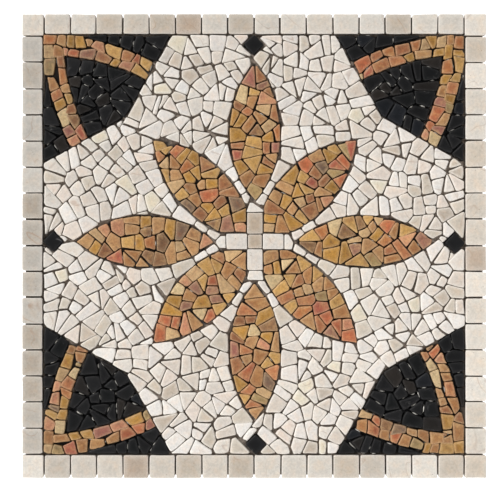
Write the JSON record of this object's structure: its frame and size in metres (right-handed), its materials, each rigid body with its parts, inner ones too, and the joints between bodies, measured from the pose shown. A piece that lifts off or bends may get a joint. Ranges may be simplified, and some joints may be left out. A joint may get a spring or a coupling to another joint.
{
  "type": "mosaic medallion panel",
  "caption": "Square wall or floor panel of tumbled marble chips on a glass-fibre net: a petalled flower in a pale ground, dark corner fields with curved bands, and a plain tile border.",
  "frame": {"origin": "centre of the flat back face, where the panel is bedded or fixed", "axes": "+Z is the panel's top, -Y is its face, +Y points into what it is fixed to, +X is to the right as its face is seen"},
  "size_m": [0.6, 0.01, 0.6],
  "materials": {
    "border_marble": "tumbled, matt",
    "pale_marble": "broken and tumbled, matt",
    "ochre_marble": "broken and tumbled, satin",
    "black_marble": "broken and tumbled, satin",
    "net": "glass-fibre net set in white adhesive"
  },
  "bodies": {
    "root": {"backing_net": "net", "border_corner_bottom_left": "border_marble", "border_corner_bottom_right": "border_marble", "border_corner_top_left": "border_marble", "border_corner_top_right": "border_marble", "border_row_bottom": "border_marble", "border_row_left": "border_marble", "border_row_right": "border_marble", "border_row_top": "border_marble", "centre_arm_bottom": "pale_marble", "centre_arm_left": "pale_marble", "centre_arm_right": "pale_marble", "centre_arm_top": "pale_marble", "centre_cap_bottom": "pale_marble", "centre_cap_left": "pale_marble", "centre_cap_right": "pale_marble", "centre_cap_top": "pale_marble", "centre_square": "pale_marble", "corner_band_bottom_left": "ochre_marble", "corner_band_bottom_right": "ochre_marble", "corner_band_top_left": "ochre_marble", "corner_band_top_right": "ochre_marble", "corner_leaf_bottom_left": "black_marble", "corner_leaf_bottom_right": "black_marble", "corner_leaf_top_left": "black_marble", "corner_leaf_top_right": "black_marble", "corner_wedge_level_bottom_left": "black_marble", "corner_wedge_level_bottom_right": "black_marble", "corner_wedge_level_top_left": "black_marble", "corner_wedge_level_top_right": "black_marble", "corner_wedge_upright_bottom_left": "black_marble", "corner_wedge_upright_bottom_right": "black_marble", "corner_wedge_upright_top_left": "black_marble", "corner_wedge_upright_top_right": "black_marble", "dark_square_bottom": "black_marble", "dark_square_left": "black_marble", "dark_square_right": "black_marble", "dark_square_top": "black_marble", "ground": "pale_marble", "petal_bottom": "ochre_marble", "petal_bottom_left": "ochre_marble", "petal_bottom_right": "ochre_marble", "petal_left": "ochre_marble", "petal_right": "ochre_marble", "petal_top": "ochre_marble", "petal_top_left": "ochre_marble", "petal_top_right": "ochre_marble"}
  },
  "joints": []
}
